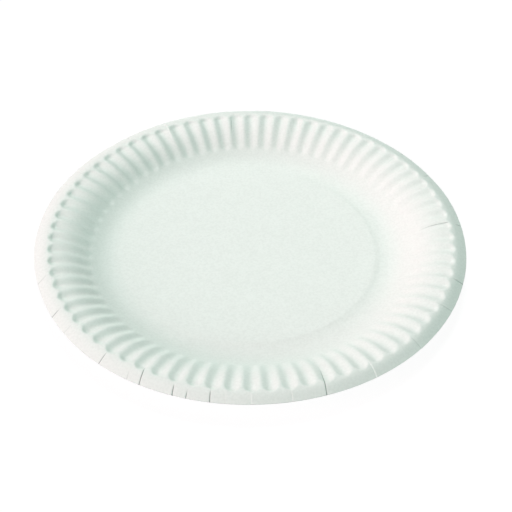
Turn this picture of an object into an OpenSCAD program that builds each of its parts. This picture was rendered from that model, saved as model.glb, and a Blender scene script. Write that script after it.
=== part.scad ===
// Round plate pressed from one flat blank of board: a flat floor, a wall that curves up,
// straight flutes that take in the spare board, and a rim that rolls over to a cut edge.
// Millimetres, +Z up, origin under the middle of the floor.

/* [Floor] */
// Diameter of the flat floor
floor_d = 143; // [90:1:190]

/* [Wall] */
// Width of the wall's lower bend, from the floor's edge outwards
lower_bend_w = 14.5; // [10:0.5:20]
// Width of the straight stretch between the wall's two bends
straight_w = 4.5; // [1:0.5:8]
// Width of the wall's upper bend
upper_bend_w = 12.5; // [10:0.5:18]
// Slope of the straight stretch, in degrees
wall_slope = 31.5; // [20:0.5:40]
// Width of the nearly level shoulder between the wall and the rim
shoulder_w = 2.5; // [0.5:0.5:5]
// Slope of the shoulder, in degrees upwards
shoulder_slope = 4.5; // [1:0.5:8]

/* [Rim] */
// Width of the rim's bend, over the crest and down
rim_bend_w = 6; // [4:0.5:9]
// Width of the straight stretch between the bend and the cut edge
rim_flat_w = 3.5; // [1:0.5:6]
// Slope of the straight stretch, in degrees downwards
rim_slope = 30; // [10:1:40]

/* [Flutes] */
// Number of flutes round the plate
flute_count = 72; // [40:1:84]
// Length of a flute along the radius
flute_len = 24.5; // [18:0.5:28]
// How far a flute reaches past the crest of the rim
flute_over = 2.4; // [0.5:0.1:3]
// Depth of a flute at its rim end
flute_rim_depth = 1.35; // [0.4:0.05:1.6]
// Depth of a flute at its floor end
flute_floor_depth = 0.4; // [0.3:0.05:1.2]
// Length over which a flute rises to the rim at its outer end
rim_end_soft = 3.2; // [1:0.1:5]
// Length over which a flute fades into the wall at its inner end
floor_end_soft = 2.4; // [1.5:0.1:6]
// How much the outer end of a flute is rounded, along the radius
rim_end_round = 2.5; // [0:0.1:4]
// How much the inner end of a flute is rounded, along the radius
floor_end_round = 1.5; // [0:0.1:4]

/* [Board] */
// Thickness of the board
board_t = 0.45; // [0.25:0.05:0.8]

/* [Hidden] */
board_colour = [0.92, 0.94, 0.92];

// The section is a chain of arcs and straight stretches from the floor's edge to the cut edge.
// These are the widths of its parts, and the slopes at the joints between them.
floor_r = floor_d / 2;
part_widths = [lower_bend_w, straight_w, upper_bend_w, shoulder_w, rim_bend_w, rim_flat_w];
joint_slopes =
    [0, wall_slope, wall_slope, shoulder_slope, shoulder_slope, -rim_slope, -rim_slope];
last_part = len(part_widths) - 1;

// Sum of a list's first n values
function sum_before(list, n) = n == 0 ? 0 : list[n - 1] + sum_before(list, n - 1);

// An arc and a straight stretch both climb by their width times the tangent of the mean slope
function climb(width, slope_1, slope_2) = width * tan((slope_1 + slope_2) / 2);
part_climbs = [
    for (n = [0:last_part]) climb(part_widths[n], joint_slopes[n], joint_slopes[n + 1])
];

// Radii of the joints, and their heights above the floor's upper face
joint_radii = [for (n = [0:last_part + 1]) floor_r + sum_before(part_widths, n)];
joint_rises = [for (n = [0:last_part + 1]) sum_before(part_climbs, n)];
edge_r = joint_radii[last_part + 1];

// The crest is where the rim's bend is level
rim_bend_start = joint_radii[4];
crest_r =
    rim_bend_start + rim_bend_w * sin(shoulder_slope) / (sin(shoulder_slope) + sin(rim_slope));

// The part of the section that a radius lies in
function part_at(r) = max([0, for (n = [1:last_part]) if (r > joint_radii[n]) n]);

// Slope of the board at a radius, positive where it climbs outwards.
// Along an arc the sine of the slope changes evenly with the radius.
function slope_at(r) =
    r <= floor_r ? 0
    : let (
        n = part_at(r),
        share = (r - joint_radii[n]) / part_widths[n]
    )
    asin(sin(joint_slopes[n]) * (1 - share) + sin(joint_slopes[n + 1]) * share);

// Height of the board's upper face at a radius, above the floor's upper face
function rise_at(r) =
    r <= floor_r ? 0
    : let (n = part_at(r))
    joint_rises[n] + climb(r - joint_radii[n], joint_slopes[n], slope_at(r));

// A column's place across its flute, from 0 on one ridge to 1 on the next
columns = 4;
flute_pitch = 360 / flute_count;
// How far below the ridges the board lies across a flute, as a share of the flute's depth:
// close to a sine wave, with the ridge a little narrower than the trough
trough_power = 1.8;
function trough_share(across) = abs(sin(180 * across)) ^ trough_power;
// Distance from the middle of the trough, from 0 there to 1 on a ridge
function off_middle(across) = abs(2 * across - 1);

// Radii at which a flute starts and ends: an arch at each end, longest in mid-trough
flute_end_r = crest_r + flute_over;
flute_start_r = flute_end_r - flute_len;
function start_r(across) = flute_start_r + floor_end_round * off_middle(across) ^ 2;
function end_r(across) = flute_end_r - rim_end_round * off_middle(across) ^ 2;

// A ramp from 0 to 1 that is level at both ends
function ramp(x) = let (c = max(0, min(1, x))) c * c * (3 - 2 * c);

// Depth of a flute at a share of its length, on the middle line of its trough
function depth_at(along) =
    (flute_floor_depth + (flute_rim_depth - flute_floor_depth) * along)
    * ramp(along * flute_len / floor_end_soft)
    * ramp((1 - along) * flute_len / rim_end_soft);

// Shares of the length at which a flute has a row of points, closer at its two ends
floor_rows = [0, 0.6 * floor_end_soft / flute_len, 1.2 * floor_end_soft / flute_len];
last_row = 1 - 0.9 * rim_end_soft / flute_len;
middle_steps = 3;
flute_rows = [
    each floor_rows,
    for (i = [1:middle_steps])
        floor_rows[2] + (last_row - floor_rows[2]) * i / middle_steps,
    1
];

// Plain rings of the wall inside the flutes, and of the rim outside them.
// The innermost ring lies in the floor, so that the wall laps the floor's disc.
floor_lap = 2;
wall_steps = 4;
rim_steps = 3;
wall_rings = [
    floor_r - floor_lap,
    for (i = [0:wall_steps - 1]) floor_r + (flute_start_r - floor_r) * i / wall_steps
];
rim_rings = [for (i = [1:rim_steps]) flute_end_r + (edge_r - flute_end_r) * i / rim_steps];

// A point of the board, pushed in from its upper face along the board's normal
function board_point(r, angle, in) =
    let (
        a = slope_at(r),
        radius = r + in * sin(a),
        height = board_t + rise_at(r) - in * cos(a)
    )
    [radius * cos(angle), radius * sin(angle), height];

// One plain ring has a point on each ridge line
function plain_ring(r, in) = [for (i = [0:flute_count - 1]) board_point(r, i * flute_pitch, in)];

// One fluted ring has four points a flute
function flute_ring(along, in) = [
    for (i = [0:flute_count * columns - 1])
        let (
            across = (i % columns) / columns,
            r = start_r(across) + (end_r(across) - start_r(across)) * along
        )
        board_point(r, i * flute_pitch / columns, in + depth_at(along) * trough_share(across))
];

// One face of the board, ring by ring from the floor's edge to the cut edge
function board_face(in) = [
    for (r = wall_rings) each plain_ring(r, in),
    for (along = flute_rows) each flute_ring(along, in),
    for (r = rim_rings) each plain_ring(r, in)
];

// Number of points in each ring, and the number of the first point in each ring
ring_sizes = [
    for (r = wall_rings) flute_count,
    for (along = flute_rows) flute_count * columns,
    for (r = rim_rings) flute_count
];
ring_starts = [for (n = [0:len(ring_sizes)]) sum_before(ring_sizes, n)];
face_points = ring_starts[len(ring_sizes)];

// Faces between two rings of the same size, with the diagonals mirrored about each trough
function even_band(inner, outer, size) = [
    for (i = [0:size - 1])
        let (
            j = (i + 1) % size,
            a = inner + i,
            b = inner + j,
            c = outer + j,
            d = outer + i
        )
        each (i % columns < columns / 2 ? [[a, b, c], [a, c, d]] : [[a, b, d], [b, c, d]])
];

// Faces from a plain ring to a fluted ring: each side of the plain ring meets four columns
function fan_band(plain, fluted) = [
    for (i = [0:flute_count - 1])
        let (
            a = plain + i,
            b = plain + (i + 1) % flute_count,
            f = [for (k = [0:columns]) fluted + (i * columns + k) % (flute_count * columns)],
            mid = columns / 2
        )
        each [
            [a, b, f[mid]],
            for (k = [0:mid - 1]) [a, f[k + 1], f[k]],
            for (k = [mid:columns - 1]) [b, f[k + 1], f[k]]
        ]
];

function reversed(faces) = [for (f = faces) [f[2], f[1], f[0]]];

// All faces of the board's upper side
function side_faces() = [
    for (n = [0:len(ring_sizes) - 2])
        let (
            inner = ring_starts[n],
            outer = ring_starts[n + 1],
            inner_size = ring_sizes[n],
            outer_size = ring_sizes[n + 1]
        )
        each (
            inner_size == outer_size ? even_band(inner, outer, inner_size)
            : inner_size < outer_size ? fan_band(inner, outer)
            : reversed(fan_band(outer, inner))
        )
];

function shifted(faces, by) = [for (f = faces) [for (p = f) p + by]];

// Faces that close the board between its two sides, round a plain ring
function closing_faces(start) = [
    for (i = [0:flute_count - 1])
        let (
            a = start + i,
            b = start + (i + 1) % flute_count
        )
        each [[a, b, b + face_points], [a, b + face_points, a + face_points]]
];

// The wall and the rim, as one pressed ring of board
module fluted_wall() {
    rim_start = ring_starts[len(ring_sizes) - 1];
    polyhedron(
        points = [each board_face(0), each board_face(board_t)],
        faces = [
            each side_faces(),
            each shifted(reversed(side_faces()), face_points),
            each reversed(closing_faces(0)),
            each closing_faces(rim_start)
        ],
        convexity = 6
    );
}

// The middle of the flat floor, which ends halfway across the lap
module flat_floor() {
    cylinder(h = board_t, r = floor_r - floor_lap / 2, $fn = flute_count);
}

module plate() {
    color(board_colour)
        union() {
            flat_floor();
            fluted_wall();
        }
}

plate();
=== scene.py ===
"""Fluted paper plate, pressed from one sheet of white coated board, on a pale floor.

The board is one closed surface. Its rings follow the plate's section from the middle of the upper
face, over the cut edge and back to the middle of the underside, and its columns run out along the
radius. Metres, +Z up, origin under the middle of the plate's floor.
"""

import math

import bpy
import numpy as np
from bpy.props import FloatProperty, FloatVectorProperty, IntProperty, PointerProperty
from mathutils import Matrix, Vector


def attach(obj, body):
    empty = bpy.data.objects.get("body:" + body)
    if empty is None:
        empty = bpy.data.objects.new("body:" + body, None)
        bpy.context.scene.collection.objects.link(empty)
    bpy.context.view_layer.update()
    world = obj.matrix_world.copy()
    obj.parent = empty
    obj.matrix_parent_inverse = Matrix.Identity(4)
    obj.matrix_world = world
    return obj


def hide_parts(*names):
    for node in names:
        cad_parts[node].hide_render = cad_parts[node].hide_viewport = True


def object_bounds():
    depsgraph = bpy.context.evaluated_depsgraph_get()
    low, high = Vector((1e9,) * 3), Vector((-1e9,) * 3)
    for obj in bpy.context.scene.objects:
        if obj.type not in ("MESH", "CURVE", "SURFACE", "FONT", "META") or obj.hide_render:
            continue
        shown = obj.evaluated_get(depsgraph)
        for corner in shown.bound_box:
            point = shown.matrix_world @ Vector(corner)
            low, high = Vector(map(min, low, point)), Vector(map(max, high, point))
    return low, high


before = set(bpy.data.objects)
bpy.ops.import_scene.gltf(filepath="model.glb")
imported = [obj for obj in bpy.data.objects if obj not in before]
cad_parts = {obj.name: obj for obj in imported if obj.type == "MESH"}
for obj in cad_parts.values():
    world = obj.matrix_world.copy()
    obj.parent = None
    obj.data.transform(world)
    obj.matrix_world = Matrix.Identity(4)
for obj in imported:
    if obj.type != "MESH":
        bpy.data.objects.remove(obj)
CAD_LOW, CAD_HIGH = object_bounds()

bl_info = {
    "name": "Fluted Paper Plate",
    "version": (1, 0, 0),
    "blender": (4, 5, 0),
    "location": "View3D > Sidebar > Paper Plate",
    "description": "Makes a pressed paper plate with flutes, rim pleats and a coated board finish",
    "category": "Add Mesh",
}

MM = 0.001
PLATE_BODY = "root"
PLATE_NODE = "plate"

# The pleats that pressing left in the rim, counterclockwise from +X. Each has its angle at its
# outer and at its inner end, in degrees, the radii of these two ends, in mm, how far the board on
# its counterclockwise side stands up over the other side, in mm, and how dark the shade painted
# into its fold is, from 0 to 1, which also deepens the fold's groove.
PLEATS = (
    (8.2, 8.2, 115, 110, 0.05, 0.50),
    (8.5, 7.9, 107, 89, 0.06, 0.45),
    (30.8, 29.6, 115, 109, 0.06, 0.35),
    (42.2, 41.8, 115, 111, 0.05, 0.20),
    (41.7, 41.4, 106, 98, 0.10, 0.10),
    (75.8, 74.9, 107, 96, -0.30, 0.15),
    (76.8, 75.9, 107, 97, -0.25, 0.10),
    (98.7, 99.3, 104, 93, 0.12, 0.30),
    (119.4, 120.4, 115, 99, -0.18, 0.00),
    (131.4, 133.0, 115, 107, -0.12, 0.20),
    (152.6, 153.8, 115, 107, 0.08, 0.10),
    (158.8, 159.2, 115, 108, -0.14, 0.10),
    (199.6, 197.7, 115, 108, -0.10, 0.20),
    (212.5, 211.7, 115, 109, 0.05, 0.75),
    (218.9, 218.6, 115, 108, 0.06, 0.20),
    (232.8, 232.7, 115, 107, 0.05, 0.75),
    (241.5, 240.8, 115, 110, 0.04, 0.25),
    (245.0, 243.9, 115, 104, -0.08, 0.75),
    (253.7, 253.2, 115, 108, -0.06, 0.90),
    (257.1, 257.0, 115, 110, -0.05, 0.60),
    (262.9, 262.6, 115, 107, -0.08, 0.75),
    (266.5, 266.5, 115, 108, 0.08, 0.05),
    (272.8, 272.7, 115, 107, 0.16, 0.05),
    (282.7, 282.8, 115, 107, 0.16, 0.10),
    (291.1, 292.4, 115, 97, -0.12, 0.80),
    (304.6, 305.1, 115, 107, 0.20, 0.00),
    (319.5, 319.6, 115, 107, -0.06, 0.20),
    (335.2, 334.4, 115, 107, -0.04, 0.25),
    (345.7, 345.6, 115, 108, 0.04, 0.55),
)

# Where the cut edge lies further in than the true circle, as on the plate in the photograph: the
# middle of each dip and its half width, in degrees, and its depth, in mm.
RIM_DIPS = (
    (57, 9, 0.8),
    (203, 15, 0.4),
    (278, 32, 0.8),
)


def length_property(name, description, default, low, high):
    """A length setting: its default and its limits are given in millimetres."""
    return FloatProperty(
        name=name,
        description=description,
        default=default * MM,
        min=low * MM,
        max=high * MM,
        precision=5,
        subtype="DISTANCE",
        unit="LENGTH",
    )


def angle_property(name, description, default, low=-360, high=360):
    """An angle setting: its default and its limits are given in degrees."""
    return FloatProperty(
        name=name,
        description=description,
        default=math.radians(default),
        min=math.radians(low),
        max=math.radians(high),
        subtype="ANGLE",
        unit="ROTATION",
    )


def share_property(name, description, default):
    """A setting from 0 to 1."""
    return FloatProperty(
        name=name,
        description=description,
        default=default,
        min=0.0,
        max=1.0,
        subtype="FACTOR",
    )


def strength_property(name, description, default):
    """A light's strength, from 0 up."""
    return FloatProperty(name=name, description=description, default=default, min=0.0)


def colour_property(name, description, default):
    """A colour setting, in linear red, green and blue from 0 to 1."""
    return FloatVectorProperty(
        name=name,
        description=description,
        default=default,
        min=0.0,
        max=1.0,
        size=3,
        subtype="COLOR",
    )


class BoardSettings(bpy.types.PropertyGroup):
    """The sheet's thickness, the sizes of the plate's section and the faults of its pressing"""

    thickness: length_property("Board thickness", "Thickness of the pressed board", 0.45, 0.2, 0.8)
    floor_diameter: length_property("Floor diameter", "Diameter of the flat floor", 143, 90, 160)
    lower_bend_width: length_property(
        "Lower bend", "Width of the wall's lower bend, from the floor's edge outwards", 14.5, 8, 20
    )
    straight_width: length_property(
        "Straight stretch", "Width of the straight stretch between the wall's two bends", 4.5, 1, 8
    )
    upper_bend_width: length_property("Upper bend", "Width of the wall's upper bend", 12.5, 8, 18)
    shoulder_width: length_property(
        "Shoulder", "Width of the nearly level shoulder between the wall and the rim", 2.5, 0.5, 5
    )
    rim_bend_width: length_property(
        "Rim bend", "Width of the rim's bend, over the crest and down", 6, 2, 9
    )
    wall_slope: angle_property("Wall slope", "Slope of the wall's straight stretch", 31.5, 15, 45)
    shoulder_slope: angle_property(
        "Shoulder slope", "How much the shoulder still climbs outwards", 4.5, 0, 10
    )
    rim_slope: angle_property(
        "Rim slope", "How steeply the rim's outer stretch runs down to the cut edge", 30, 5, 45
    )
    rim_wave: length_property("Rim wave", "How far the cut edge waves up and down", 0.15, 0, 1)
    wave_seed: IntProperty(
        name="Wave seed",
        description="Chooses where the cut edge waves up and where down",
        default=4,
        min=0,
    )
    panel_diameter: length_property(
        "Panel diameter",
        "Diameter of the middle panel that the pressing lifts a little",
        134.4,
        60,
        140,
    )
    panel_rise: length_property(
        "Panel rise", "How far the middle panel stands up over the ring round it", 0.15, 0, 0.5
    )
    panel_slope_width: length_property(
        "Panel slope", "Width of the slope from the panel down to the ring round it", 2.4, 1, 8
    )
    panel_tilt: share_property(
        "Panel tilt",
        "How much the panel's rise grows to its high side, as a share of the rise",
        0.8,
    )
    panel_high_side: angle_property(
        "Panel high side", "Direction of the panel's high side, counterclockwise from +X", -15
    )
    bend_offset: length_property(
        "Bend offset", "How far the start of the wall's lower bend is off centre", 1.2, 0, 3
    )


class FluteSettings(bpy.types.PropertyGroup):
    """The number and the shape of the flutes, and how unevenly they are pressed"""

    count: IntProperty(
        name="Flutes",
        description="Number of flutes round the plate",
        default=72,
        min=40,
        max=84,
    )
    length: length_property("Flute length", "Length of a flute along the radius", 24.5, 14, 30)
    past_crest: length_property(
        "Past the crest", "How far a flute reaches past the crest of the rim", 2.4, 0, 4
    )
    rim_depth: length_property(
        "Depth at the rim", "Depth of a flute at its rim end", 1.35, 0.4, 1.5
    )
    floor_depth: length_property(
        "Depth at the floor", "Depth of a flute at its floor end", 0.4, 0.3, 1.2
    )
    rim_end_soft: length_property(
        "Rim end", "Length over which a flute rises to the rim", 3.2, 1, 7
    )
    floor_end_soft: length_property(
        "Floor end", "Length over which a flute fades into the wall", 2.4, 1.5, 7
    )
    rim_end_round: length_property(
        "Rim end rounding",
        "How much the outer end of a flute is rounded, along the radius",
        2.5,
        0,
        4,
    )
    floor_end_round: length_property(
        "Floor end rounding",
        "How much the inner end of a flute is rounded, along the radius",
        1.5,
        0,
        4,
    )
    trough_power: FloatProperty(
        name="Trough breadth",
        description="How broad the trough is: 1 is broad with a sharp ridge, 2 has a round ridge",
        default=1.8,
        min=1.0,
        max=3.0,
    )
    unevenness: share_property(
        "Unevenness", "How much deeper the flutes are pressed on their deep side, as a share", 0.22
    )
    deep_side: angle_property(
        "Deep side", "Direction of the side with the deeper flutes, counterclockwise from +X", 185
    )
    ring_offset: length_property(
        "Ring offset", "How far the ring of flutes is pressed off the plate's centre", 0.9, 0, 2
    )
    ring_direction: angle_property(
        "Ring direction",
        "Direction in which the ring of flutes is off centre, counterclockwise from +X",
        312,
    )


class FinishSettings(bpy.types.PropertyGroup):
    """The colours and the gloss of the board"""

    coating_colour: colour_property(
        "Coating", "Colour of the clay-coated upper face", (0.84, 0.89, 0.85)
    )
    mottle_colour: colour_property(
        "Mottle", "Colour of the thinner spots of the coating", (0.795, 0.845, 0.805)
    )
    underside_colour: colour_property(
        "Underside", "Colour of the uncoated underside", (0.80, 0.82, 0.79)
    )
    # Partly the raw board's colour and partly painted shade: darker than raw board, so that the cut
    # edge draws a line of shade along the outline.
    cut_edge_and_shade_colour: colour_property(
        "Cut edge", "Colour of the raw board where it is cut", (0.22, 0.24, 0.23)
    )
    # Painted shade: this dark colour deep in a pleat's fold stands in for the shade in its groove.
    fold_shade_colour: colour_property("Fold", "Colour deep in a pleat's fold", (0.10, 0.13, 0.12))
    gloss: share_property("Gloss", "How much the coating mirrors, where 0.5 is plain varnish", 0.25)
    roughness: share_property(
        "Roughness", "Roughness of the coating, from 0, polished, to 1, matt", 0.54
    )


class StageSettings(bpy.types.PropertyGroup):
    """The floor, the light and the camera"""

    view_azimuth: angle_property(
        "View direction", "Direction in which the camera looks, counterclockwise from +X", 92.5
    )
    view_elevation: angle_property("View elevation", "Height of the camera over the horizon", 43.12)
    view_distance: length_property(
        "View distance", "Distance from the camera to the middle of the plate", 690, 100, 3000
    )
    shift_right: FloatProperty(
        name="Shift to the right",
        description="Shift of the view to the right, as a share of the picture's width",
        default=0.0117,
        precision=4,
    )
    shift_down: FloatProperty(
        name="Shift down",
        description="Shift of the view downwards, as a share of the picture's width",
        default=0.0082,
        precision=4,
    )
    lens: FloatProperty(
        name="Lens",
        description="Focal length of the camera, in millimetres",
        default=89.9,
        min=10,
        subtype="DISTANCE_CAMERA",
    )
    key_colour: colour_property("Key colour", "Colour of the key light", (1.0, 0.69, 0.78))
    key_strength: strength_property(
        "Key strength", "Strength of the key light, in watts per square metre", 2.5
    )
    key_side: angle_property(
        "Key side", "Direction of the key light, counterclockwise from the view direction", 116
    )
    key_elevation: angle_property("Key elevation", "Height of the key light over the horizon", 24)
    key_softness: angle_property(
        "Key softness", "Width of the key light, as seen from the plate", 40
    )
    back_colour: colour_property("Back colour", "Colour of the back light", (0.88, 1.0, 0.95))
    back_strength: strength_property(
        "Back strength", "Strength of the back light, in watts per square metre", 2.4
    )
    back_side: angle_property(
        "Back side", "Direction of the back light, counterclockwise from the view direction", 0
    )
    back_elevation: angle_property(
        "Back elevation", "Height of the back light over the horizon", 45
    )
    back_softness: angle_property(
        "Back softness", "Width of the back light, as seen from the plate", 20
    )
    front_colour: colour_property("Front colour", "Colour of the front light", (0.65, 1.0, 0.88))
    front_strength: strength_property(
        "Front strength", "Strength of the front light, in watts per square metre", 1.25
    )
    front_side: angle_property(
        "Front side", "Direction of the front light, counterclockwise from the view direction", 180
    )
    front_elevation: angle_property(
        "Front elevation", "Height of the front light over the horizon", 17
    )
    front_softness: angle_property(
        "Front softness", "Width of the front light, as seen from the plate", 20
    )
    fill_colour: colour_property(
        "Fill colour", "Colour of the light from all round", (1.0, 1.0, 1.0)
    )
    fill_strength: strength_property(
        "Fill strength", "Strength of the light from all round, where 1 is white", 0.02
    )
    floor_colour: colour_property(
        "Floor", "Colour of the floor, as it lights the plate from below", (0.8, 0.8, 0.8)
    )


def ramp(x):
    """A ramp from 0 to 1 that is level at both ends: 3 c^2 - 2 c^3, with c as x kept in 0 to 1."""
    c = np.clip(x, 0.0, 1.0)
    return c * c * (3.0 - 2.0 * c)


def within_half_turn(angle):
    """The same direction, as an angle between minus half a turn and half a turn."""
    return (angle + np.pi) % (2 * np.pi) - np.pi


class Section:
    """The plate's section, worked out from the settings and from the frame's box.

    From the floor's edge it is a bend up, a straight stretch, a bend back to a nearly level
    shoulder, the shoulder, a bend over the crest, and a straight stretch down to the cut edge.
    Each bend is an arc, so the sine of its slope changes evenly along the radius. A joint is where
    one stretch meets the next, and has its radius, its slope and its height over the floor.
    """

    def __init__(self, board, flutes):
        self.board = board
        self.floor_r = board.floor_diameter / 2
        self.panel_r = board.panel_diameter / 2
        self.edge_r = (CAD_HIGH.x - CAD_LOW.x) / 2
        widths = [
            board.lower_bend_width,
            board.straight_width,
            board.upper_bend_width,
            board.shoulder_width,
            board.rim_bend_width,
        ]
        wall, shoulder, rim = board.wall_slope, board.shoulder_slope, -board.rim_slope
        self.joint_r = np.append(self.floor_r + np.cumsum([0, *widths]), self.edge_r)
        self.joint_slope = np.array([0, wall, wall, shoulder, shoulder, rim, rim])
        climbs = np.diff(self.joint_r) * np.tan((self.joint_slope[1:] + self.joint_slope[:-1]) / 2)
        self.joint_rise = np.append(0, np.cumsum(climbs))
        self.lower_bend_end_r = self.joint_r[1]
        rim_bend_start_r = self.joint_r[4]
        sine_change = math.sin(shoulder) - math.sin(rim)
        self.crest_r = rim_bend_start_r + board.rim_bend_width * math.sin(shoulder) / sine_change
        self.flute_end_r = self.crest_r + flutes.past_crest
        self.flute_start_r = self.flute_end_r - flutes.length

    def slope(self, r):
        """Slope of the board at the radii r, in radians, positive where it climbs outwards."""
        return np.arcsin(np.interp(r, self.joint_r, np.sin(self.joint_slope)))

    def pressed_radius(self, r, angle):
        """The radius whose height and slope the board has at the radii r and the angles.

        The start of the lower bend is a little off centre, towards +X. The shift grows from
        nothing at the panel and is gone where the bend ends.
        """
        grow = self.floor_r - self.panel_r
        die = self.lower_bend_end_r - self.floor_r
        share = ramp((r - self.panel_r) / grow) * (1 - ramp((r - self.floor_r) / die))
        return r - self.board.bend_offset * np.cos(angle) * share

    def rise(self, r, angle):
        """Height of the upper face at the radii r and the angles, over the floor's upper face.

        From a joint on, an arc and a straight stretch both climb by the run times the tangent of
        the mean of the slopes at the two ends. The middle panel adds its own small rise, which
        grows evenly towards its high side and ends in a ramp down to the ring round it.
        """
        board = self.board
        joint = np.clip(np.searchsorted(self.joint_r, r) - 1, 0, len(self.joint_r) - 2)
        run = np.maximum(r - self.joint_r[joint], 0)
        mean_slope = (self.joint_slope[joint] + self.slope(r)) / 2
        wall = self.joint_rise[joint] + run * np.tan(mean_slope)
        tilt = board.panel_tilt * np.cos(angle - board.panel_high_side) * r / self.panel_r
        panel = board.panel_rise * (1 + tilt)
        return wall + panel * (1 - ramp((r - self.panel_r) / board.panel_slope_width))


def section_stations(section):
    """Stations along the section: radius in mid-trough, depth under the upper face, and side.

    They run from the middle of the upper face to the cut edge, round it with a small bevel, and
    back under the board, where every other radius is enough. Side is 0 on the upper face, 1 on
    the cut edge and 2 underneath.
    """
    floor_shares = np.array([0.14, 0.4, 0.66, 0.86, 0.96])
    flute_shares = [0, 0.04, 0.08, 0.12, 0.17, 0.23, 0.32, 0.42, 0.52, 0.62, 0.72, 0.8, 0.86]
    flute_shares += [0.9, 0.92, 0.94, 0.96, 0.98, 1]
    rim_shares = np.array([0.06, 0.14, 0.25, 0.38, 0.52, 0.66, 0.8, 0.92])
    panel_stations = 7
    panel_margin = 0.5 * MM
    wall_stations = 7
    floor_margin = 1.5 * MM
    flute_margin = 1 * MM
    bevel = 0.05 * MM
    bevel_margin = 4 * bevel

    start, end, edge = section.flute_start_r, section.flute_end_r, section.edge_r
    panel_start = section.panel_r - panel_margin
    panel_end = section.panel_r + section.board.panel_slope_width + panel_margin
    floor_radii = floor_shares * section.panel_r
    panel_radii = np.linspace(panel_start, panel_end, panel_stations)
    wall_radii = np.linspace(section.floor_r + floor_margin, start - flute_margin, wall_stations)
    flute_radii = start + (end - start) * np.array(flute_shares)
    rim_radii = end + (edge - end) * rim_shares
    upper = np.concatenate([floor_radii, panel_radii, wall_radii, flute_radii, rim_radii])
    lower = upper[::-1][::2]

    under = section.board.thickness
    beside, inside = edge - bevel, edge - bevel_margin
    edge_radii = [inside, beside, edge, edge, beside, inside]
    edge_depths = [0, 0, bevel, under - bevel, under, under]
    edge_sides = [0, 0, 1, 1, 2, 2]

    radius = np.concatenate([upper, edge_radii, lower])
    depth = np.concatenate([np.zeros(len(upper)), edge_depths, np.full(len(lower), under)])
    side = np.concatenate([np.zeros(len(upper)), edge_sides, np.full(len(lower), 2)])
    return radius, depth, side


def pleat_values():
    """The pleats' columns as arrays: outer and inner angles and radii, step, painted shade.

    Angles are in radians and lengths in metres.
    """
    outer, inner, outer_r, inner_r, step, shade = np.array(PLEATS, float).T
    return np.radians(outer), np.radians(inner), outer_r * MM, inner_r * MM, step * MM, shade


def pleat_angle(r):
    """Angle of each pleat at the radii r: a straight line from its outer to its inner end."""
    outer, inner, outer_r, inner_r, _, _ = pleat_values()
    share = (outer_r - r[:, None]) / (outer_r - inner_r)
    return outer + (inner - outer) * np.clip(share, 0, 1)


def column_angles(section, flutes):
    """Angles of the columns at the cut edge: twelve a flute, and six close ones at each pleat."""
    columns_a_flute = 12
    columns = flutes.count * columns_a_flute
    even = np.arange(columns) * 2 * np.pi / columns
    beside = np.array([-0.42, -0.17, -0.05, 0.05, 0.17, 0.42]) * MM / section.edge_r
    outer = pleat_values()[0]
    return np.sort(np.concatenate([even, (outer[:, None] + beside).ravel() % (2 * np.pi)]))


def leaning_angles(r, at_edge):
    """Angles of the grid's points: near a pleat the columns lean along with it.

    A pleat's lean is how far its angle at this radius is from that at its outer end. It counts in
    full at the pleat, falls off as a bell of the distance from it, and dies out inside its inner
    end. Between close pleats the columns take the mean of their leans.
    """
    bell_width = np.radians(2.2)
    relax_length = 18 * MM
    outer, _, _, inner_r, _, _ = pleat_values()
    lean = pleat_angle(r) - outer
    lean *= ramp((r[:, None] - inner_r + relax_length) / relax_length)
    away = within_half_turn(at_edge[:, None] - outer)
    bell = np.exp(-((away / bell_width) ** 2))
    bell /= np.maximum(bell.sum(-1, keepdims=True), 1)
    return at_edge[None, :] + lean @ bell.T


def pleat_relief(r, angle):
    """Height that the pleats add to the board and the shade painted into their folds, at each
    point.

    Across a pleat the board jumps up by its step, half on each side, and the jump fades within a
    few millimetres. On the line itself there is a narrow groove, which is deeper where more shade
    is painted into the fold. Both fade in at the inner end and fade out past the outer end, if that
    is short of the cut edge. The painted shade takes the inner part of the pleat to come in.
    """
    jump_width = 0.09 * MM
    recovery = 2.2 * MM
    groove_width = 0.2 * MM
    groove_depth = 0.16 * MM
    unshaded_share = 0.3
    inner_fade = 3 * MM
    outer_fade = 1.5 * MM
    shade_share = 0.6
    _, _, outer_r, inner_r, step, shade = pleat_values()
    away = within_half_turn(angle[..., None] - pleat_angle(r)[:, None, :])
    across = away * r[:, None, None]
    fade_in = ramp((r[:, None] - inner_r) / inner_fade)
    fade_out = ramp((outer_r + outer_fade - r[:, None]) / outer_fade)
    fade = (fade_in * fade_out)[:, None, :]
    # The shade painted into each fold, which also deepens its groove.
    shade_fade = shade_share * (outer_r - inner_r)
    dark = shade * ramp((r[:, None] - inner_r) / shade_fade)[:, None, :]
    jump = 0.5 * step * np.tanh(across / jump_width) * np.exp(-np.abs(across) / recovery)
    groove = np.exp(-((across / groove_width) ** 2))
    height = (fade * (jump - groove * groove_depth * (unshaded_share + dark))).sum(-1)
    return height, np.clip((fade * groove * dark).sum(-1), 0, 1)


def rim_shift(section, r, angle):
    """How far the rim lies in from its circle and how far it waves up, at each point.

    A dip is a bell of the angle. The wave is a sum of sines round the plate with seeded phases,
    each weaker as its sines get shorter. Both grow from nothing at the crest to the cut edge.
    """
    sine_counts = (2, 3, 5, 7, 11, 17, 23)
    share = ramp((r - section.crest_r) / (section.edge_r - section.crest_r))[:, None]
    dip = np.zeros_like(angle)
    for middle, half_width, depth in RIM_DIPS:
        away = within_half_turn(angle - math.radians(middle))
        dip += depth * MM * np.exp(-((away / math.radians(half_width)) ** 2))
    wave = np.zeros_like(angle)
    draw = np.random.default_rng(section.board.wave_seed)
    phases = draw.uniform(0, 2 * np.pi, len(sine_counts))
    for sines, phase in zip(sine_counts, phases):
        wave += np.sin(sines * angle + phase) / math.sqrt(sines)
    return dip * share, section.board.rim_wave * wave * share


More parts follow.
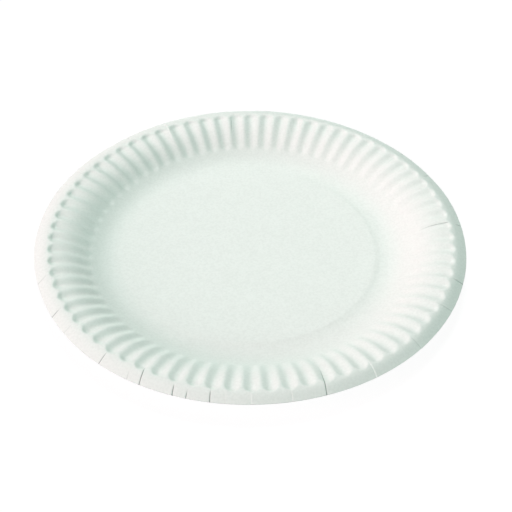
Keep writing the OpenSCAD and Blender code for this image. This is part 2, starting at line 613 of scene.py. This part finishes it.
def flute_pattern(section, flutes, r, angle):
    """Depth of the flutes and the outward shift of the rings, at each point.

    The depth is a power of the sine across the flute, times a depth that grows outwards along it,
    times a ramp at each end, times one plus a cosine round the plate for the uneven press. The
    shift rounds the flute's ends: it is the square of the distance from mid-trough, times a length
    that is positive at the inner end and negative at the outer one. The ring of flutes is a little
    off centre. Its offset's part round the plate turns a point's place in the pattern, and its
    part along the radius is added to the shift.
    """
    blend_in, blend_out = 4 * MM, 3.5 * MM
    start, end = section.flute_start_r, section.flute_end_r

    off = flutes.ring_direction - angle
    turned = angle - flutes.ring_offset * np.sin(off) / r[:, None]
    across = (turned * flutes.count / (2 * np.pi)) % 1.0
    share = np.abs(np.sin(np.pi * across)) ** flutes.trough_power
    along = np.clip((r - start) / flutes.length, 0, 1)
    depth = flutes.floor_depth + (flutes.rim_depth - flutes.floor_depth) * along
    depth *= ramp(along * flutes.length / flutes.floor_end_soft)
    depth *= ramp((1 - along) * flutes.length / flutes.rim_end_soft)
    pressed = 1 + flutes.unevenness * np.cos(angle - flutes.deep_side)

    bow = np.interp(
        r,
        [start - blend_in, start, end, end + blend_out],
        [0, flutes.floor_end_round, -flutes.rim_end_round, 0],
    )
    off_middle = np.abs(2 * across - 1)
    reach_start = section.lower_bend_end_r - blend_in
    reach = np.interp(r, [reach_start, start, end, section.edge_r], [0, 1, 1, 0])
    moved = flutes.ring_offset * np.cos(off) * reach[:, None]
    return depth[:, None] * pressed * share, bow[:, None] * off_middle**2 + moved


def plate_surface(section, flutes):
    """The grid of points of the board's surface, with each point's painted fold shade and side.

    A point lies under the upper face by its station's depth plus the flute's, along the board's
    normal, and the pleats and the rim's wave lift it along that normal.
    """
    r, depth, side = section_stations(section)
    angle = leaning_angles(r, column_angles(section, flutes))
    flute_depth, bow = flute_pattern(section, flutes, r, angle)
    lift, shade = pleat_relief(r, angle)
    dip, wave = rim_shift(section, r, angle)
    radius = r[:, None] + bow - dip
    pressed = section.pressed_radius(radius, angle)
    slope = section.slope(pressed)
    inwards = depth[:, None] + flute_depth - lift - wave
    out = radius + inwards * np.sin(slope)
    height = section.board.thickness + section.rise(pressed, angle) - inwards * np.cos(slope)
    points = np.stack([out * np.cos(angle), out * np.sin(angle), height], -1)
    return points, shade * (side[:, None] == 0), np.broadcast_to(side[:, None], shade.shape)


def ring_faces(rings, columns):
    """Four-sided faces from ring to ring of a grid of points, all the way round."""
    ring = np.arange(rings - 1)[:, None] * columns
    column = np.arange(columns)
    following = (column + 1) % columns
    outer = ring + columns
    corners = [ring + column, outer + column, outer + following, ring + following]
    return np.stack(corners, -1).reshape(-1, 4).tolist()


def fan_faces(middle, ring):
    """Triangles from a middle point to each two neighbours of a ring of points."""
    return np.stack([np.full(len(ring), middle), ring, np.roll(ring, -1)], -1).tolist()


def new_mesh(name, points, middles, faces):
    """A mesh from a grid of points and the middle points that come after them."""
    mesh = bpy.data.meshes.new(name)
    vertices = np.concatenate([points.reshape(-1, 3), middles])
    mesh.from_pydata(vertices.tolist(), [], faces)
    mesh.update()
    return mesh


def closed_mesh(name, points, middles):
    """A closed smooth mesh from rings of points, with a fan at its first and its last ring."""
    rings, columns = points.shape[:2]
    first_ring = np.arange(columns)
    last_ring = (rings - 1) * columns + first_ring
    first_middle, last_middle = rings * columns, rings * columns + 1
    faces = ring_faces(rings, columns)
    faces += fan_faces(first_middle, first_ring)
    faces += fan_faces(last_middle, last_ring[::-1])
    mesh = new_mesh(name, points, middles, faces)
    mesh.shade_smooth()
    return mesh


def set_point_values(mesh, name, values):
    """Keeps one number a point under a name that the material can read."""
    attribute = mesh.attributes.new(name, "FLOAT", "POINT")
    attribute.data.foreach_set("value", values.astype(np.float32))


def link_object(name, data):
    """A new object of the scene, at the origin, that shows a mesh, a lamp or a camera."""
    item = bpy.data.objects.new(name, data)
    bpy.context.scene.collection.objects.link(item)
    return item


def new_material(name):
    """An empty node material, with its nodes and a function that joins two sockets."""
    material = bpy.data.materials.new(name)
    material.use_nodes = True
    tree = material.node_tree
    tree.nodes.clear()
    return material, tree.nodes, tree.links.new


def noise(nodes, join, place, scale, detail):
    """Noise with features about 1 / scale metres wide."""
    node = nodes.new("ShaderNodeTexNoise")
    node.inputs["Scale"].default_value = scale
    node.inputs["Detail"].default_value = detail
    join(place, node.inputs["Vector"])
    return node.outputs["Fac"]


def mapped(nodes, join, value, source, target):
    """A value carried from one range to another."""
    node = nodes.new("ShaderNodeMapRange")
    node.inputs["From Min"].default_value, node.inputs["From Max"].default_value = source
    node.inputs["To Min"].default_value, node.inputs["To Max"].default_value = target
    join(value, node.inputs["Value"])
    return node.outputs["Result"]


def painted_over(nodes, join, under, colour, cover):
    """A colour painted over another one, as far as cover says."""
    node = nodes.new("ShaderNodeMix")
    node.data_type = "RGBA"
    if isinstance(under, bpy.types.NodeSocket):
        join(under, node.inputs["A"])
    else:
        node.inputs["A"].default_value = (*under, 1)
    node.inputs["B"].default_value = (*colour, 1)
    join(cover, node.inputs["Factor"])
    return node.outputs["Result"]


def point_value(nodes, name):
    """A number that the mesh keeps at its points."""
    node = nodes.new("ShaderNodeAttribute")
    node.attribute_name = name
    return node.outputs["Fac"]


def board_material(finish):
    """White coated board: faint cloudy mottle, fine fibre grain, painted shade in the pleats'
    folds, and a raw cut edge darkened by painted shade.
    """
    cloud_scale, cloud_detail = 850, 1
    fibre_scale, fibre_detail = 1500, 4
    spot_clouds, rough_clouds = (0.35, 0.7), (0.3, 0.7)
    smoothest, roughest = finish.roughness - 0.05, finish.roughness + 0.08
    grain_strength, grain_height = 0.12, 0.05 * MM
    material, nodes, join = new_material("coated_board")
    place = nodes.new("ShaderNodeTexCoord").outputs["Object"]
    clouds = noise(nodes, join, place, cloud_scale, cloud_detail)
    fibres = noise(nodes, join, place, fibre_scale, fibre_detail)

    spots = mapped(nodes, join, clouds, spot_clouds, (0, 1))
    colour = painted_over(nodes, join, finish.coating_colour, finish.mottle_colour, spots)
    under = point_value(nodes, "underside")
    colour = painted_over(nodes, join, colour, finish.underside_colour, under)
    # Painted shade, in part: the cut edge is darkened past the raw board's colour to draw a shaded
    # line along the outline.
    colour = painted_over(nodes, join, colour, finish.cut_edge_and_shade_colour, point_value(nodes, "raw_edge"))
    # Painted shade: the pleats' folds are darkened where shade falls into their grooves.
    colour = painted_over(nodes, join, colour, finish.fold_shade_colour, point_value(nodes, "fold"))

    shader = nodes.new("ShaderNodeBsdfPrincipled")
    join(colour, shader.inputs["Base Color"])
    shader.inputs["Specular IOR Level"].default_value = finish.gloss
    rough = mapped(nodes, join, clouds, rough_clouds, (smoothest, roughest))
    join(rough, shader.inputs["Roughness"])

    grain = nodes.new("ShaderNodeBump")
    grain.inputs["Strength"].default_value = grain_strength
    grain.inputs["Distance"].default_value = grain_height
    join(fibres, grain.inputs["Height"])
    join(grain.outputs["Normal"], shader.inputs["Normal"])
    output = nodes.new("ShaderNodeOutputMaterial")
    join(shader.outputs["BSDF"], output.inputs["Surface"])
    return material


def white_seen(nodes, join):
    """1 for the rays that show a background, straight, mirrored or through glass, and else 0."""
    path = nodes.new("ShaderNodeLightPath")
    seen = path.outputs["Is Camera Ray"]
    for name in ("Is Glossy Ray", "Is Transmission Ray"):
        largest = nodes.new("ShaderNodeMath")
        largest.operation = "MAXIMUM"
        join(seen, largest.inputs[0])
        join(path.outputs[name], largest.inputs[1])
        seen = largest.outputs[0]
    return seen


def floor_material(stage):
    """A pale floor that looks white and keeps a light shadow of the plate.

    Where the camera sees it, most of its white is its own and the rest is lit, so a shadow takes
    away only the lit part. The plate is lit by a plain diffuse floor.
    """
    own_white = 0.95
    lit_share = 0.1
    material, nodes, join = new_material("pale_floor")
    plain = nodes.new("ShaderNodeBsdfDiffuse")
    plain.inputs["Color"].default_value = (*stage.floor_colour, 1)
    lit = nodes.new("ShaderNodeBsdfDiffuse")
    lit.inputs["Color"].default_value = (lit_share, lit_share, lit_share, 1)
    white = nodes.new("ShaderNodeEmission")
    white.inputs["Strength"].default_value = own_white
    both = nodes.new("ShaderNodeAddShader")
    join(lit.outputs["BSDF"], both.inputs[0])
    join(white.outputs["Emission"], both.inputs[1])
    choice = nodes.new("ShaderNodeMixShader")
    join(white_seen(nodes, join), choice.inputs["Fac"])
    join(plain.outputs["BSDF"], choice.inputs[1])
    join(both.outputs["Shader"], choice.inputs[2])
    output = nodes.new("ShaderNodeOutputMaterial")
    join(choice.outputs["Shader"], output.inputs["Surface"])
    return material


def make_floor(stage):
    """A round floor a hair under the plate: rings of points round its middle, closer near it."""
    radii = np.array([0.2, 0.6, 1.5, 4.0])
    height = -0.02 * MM
    columns = 64
    angle = np.linspace(0, 2 * np.pi, columns, endpoint=False)
    x = radii[:, None] * np.cos(angle)
    y = radii[:, None] * np.sin(angle)
    points = np.stack([x, y, np.full_like(x, height)], -1)
    middle = len(radii) * columns
    faces = ring_faces(len(radii), columns) + fan_faces(middle, np.arange(columns))
    mesh = new_mesh("floor", points, [[0, 0, height]], faces)
    mesh.materials.append(floor_material(stage))
    floor = link_object("floor", mesh)


def make_world(stage):
    """Even light from all round, and white where the camera looks past the floor."""
    world = bpy.data.worlds.new("studio")
    bpy.context.scene.world = world
    world.use_nodes = True
    nodes, join = world.node_tree.nodes, world.node_tree.links.new
    nodes.clear()
    fill = nodes.new("ShaderNodeBackground")
    fill.inputs["Color"].default_value = (*stage.fill_colour, 1)
    fill.inputs["Strength"].default_value = stage.fill_strength
    white = nodes.new("ShaderNodeBackground")
    white.inputs["Color"].default_value = (1, 1, 1, 1)
    choice = nodes.new("ShaderNodeMixShader")
    join(white_seen(nodes, join), choice.inputs["Fac"])
    join(fill.outputs["Background"], choice.inputs[1])
    join(white.outputs["Background"], choice.inputs[2])
    output = nodes.new("ShaderNodeOutputWorld")
    join(choice.outputs["Shader"], output.inputs["Surface"])


def direction(azimuth, elevation):
    """Unit vector towards an azimuth, counterclockwise from +X, and an elevation."""
    level = math.cos(elevation)
    return Vector((level * math.cos(azimuth), level * math.sin(azimuth), math.sin(elevation)))


def make_lamp(name, colour, strength, azimuth, elevation, softness):
    """A soft, distant lamp that shines from an azimuth and an elevation."""
    lamp = bpy.data.lights.new(name, "SUN")
    lamp.energy = strength
    lamp.color = colour
    lamp.angle = softness
    light = link_object(name, lamp)
    light.rotation_mode = "QUATERNION"
    light.rotation_quaternion = direction(azimuth, elevation).to_track_quat("Z", "Y")


def make_lamps(stage):
    """The key light from the left, one light from behind the plate and one from the front."""
    for name in ("key", "back", "front"):
        make_lamp(
            name,
            getattr(stage, name + "_colour"),
            getattr(stage, name + "_strength"),
            stage.view_azimuth + getattr(stage, name + "_side"),
            getattr(stage, name + "_elevation"),
            getattr(stage, name + "_softness"),
        )


def make_camera(stage):
    """The camera at the photograph's viewing angle, with a sensor 36 mm wide."""
    data = bpy.data.cameras.new("camera")
    data.sensor_width = 36
    data.lens = stage.lens
    data.shift_x = stage.shift_right
    data.shift_y = -stage.shift_down
    camera = link_object("camera", data)
    back = direction(stage.view_azimuth + math.pi, stage.view_elevation)
    camera.location = back * stage.view_distance
    camera.rotation_mode = "QUATERNION"
    camera.rotation_quaternion = back.to_track_quat("Z", "Y")
    bpy.context.scene.camera = camera


class MESH_OT_make_plate(bpy.types.Operator):
    """Make the pressed plate of coated board"""

    bl_idname = "mesh.make_fluted_plate"
    bl_label = "Make Plate"

    def execute(self, context):
        board, flutes = context.scene.plate_board, context.scene.plate_flutes
        points, shade, side = plate_surface(Section(board, flutes), flutes)
        middles = [[0, 0, board.panel_rise + board.thickness], [0, 0, board.panel_rise]]
        mesh = closed_mesh("pressed_board", points, middles)
        # How much shade is painted into the pleats' folds at each point.
        set_point_values(mesh, "fold", np.append(shade.ravel(), [0, 0]))
        set_point_values(mesh, "raw_edge", np.append((side == 1).ravel(), [0, 0]))
        set_point_values(mesh, "underside", np.append((side == 2).ravel(), [0, 1]))
        mesh.materials.append(board_material(context.scene.plate_finish))
        plate = link_object("pressed_board", mesh)
        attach(plate, PLATE_BODY)
        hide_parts(PLATE_NODE)
        return {"FINISHED"}


class SCENE_OT_make_stage(bpy.types.Operator):
    """Make the pale floor, the light and the camera"""

    bl_idname = "scene.make_plate_stage"
    bl_label = "Make Stage"

    def execute(self, context):
        stage = context.scene.plate_stage
        make_floor(stage)
        make_world(stage)
        make_lamps(stage)
        make_camera(stage)
        context.scene.view_settings.view_transform = "Standard"
        return {"FINISHED"}


class VIEW3D_PT_fluted_plate(bpy.types.Panel):
    """Sizes, finish and stage of the plate"""

    bl_idname = "VIEW3D_PT_fluted_plate"
    bl_label = "Fluted Paper Plate"
    bl_space_type = "VIEW_3D"
    bl_region_type = "UI"
    bl_category = "Paper Plate"

    def draw(self, context):
        layout = self.layout
        for name, title, _ in SETTINGS:
            box = layout.box()
            box.label(text=title)
            settings = getattr(context.scene, name)
            for key in settings.__annotations__:
                box.prop(settings, key)
        layout.operator(MESH_OT_make_plate.bl_idname)
        layout.operator(SCENE_OT_make_stage.bl_idname)


SETTINGS = (
    ("plate_board", "Board", BoardSettings),
    ("plate_flutes", "Flutes", FluteSettings),
    ("plate_finish", "Finish", FinishSettings),
    ("plate_stage", "Stage", StageSettings),
)
CLASSES = (
    BoardSettings,
    FluteSettings,
    FinishSettings,
    StageSettings,
    MESH_OT_make_plate,
    SCENE_OT_make_stage,
    VIEW3D_PT_fluted_plate,
)


def register():
    for item in CLASSES:
        bpy.utils.register_class(item)
    for name, _, group in SETTINGS:
        setattr(bpy.types.Scene, name, PointerProperty(type=group))


def unregister():
    for name, _, _ in SETTINGS:
        delattr(bpy.types.Scene, name)
    for item in reversed(CLASSES):
        bpy.utils.unregister_class(item)


def main():
    """Registers the classes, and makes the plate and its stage."""
    register()
    bpy.ops.mesh.make_fluted_plate()
    bpy.ops.scene.make_plate_stage()


if __name__ == "__main__":
    main()
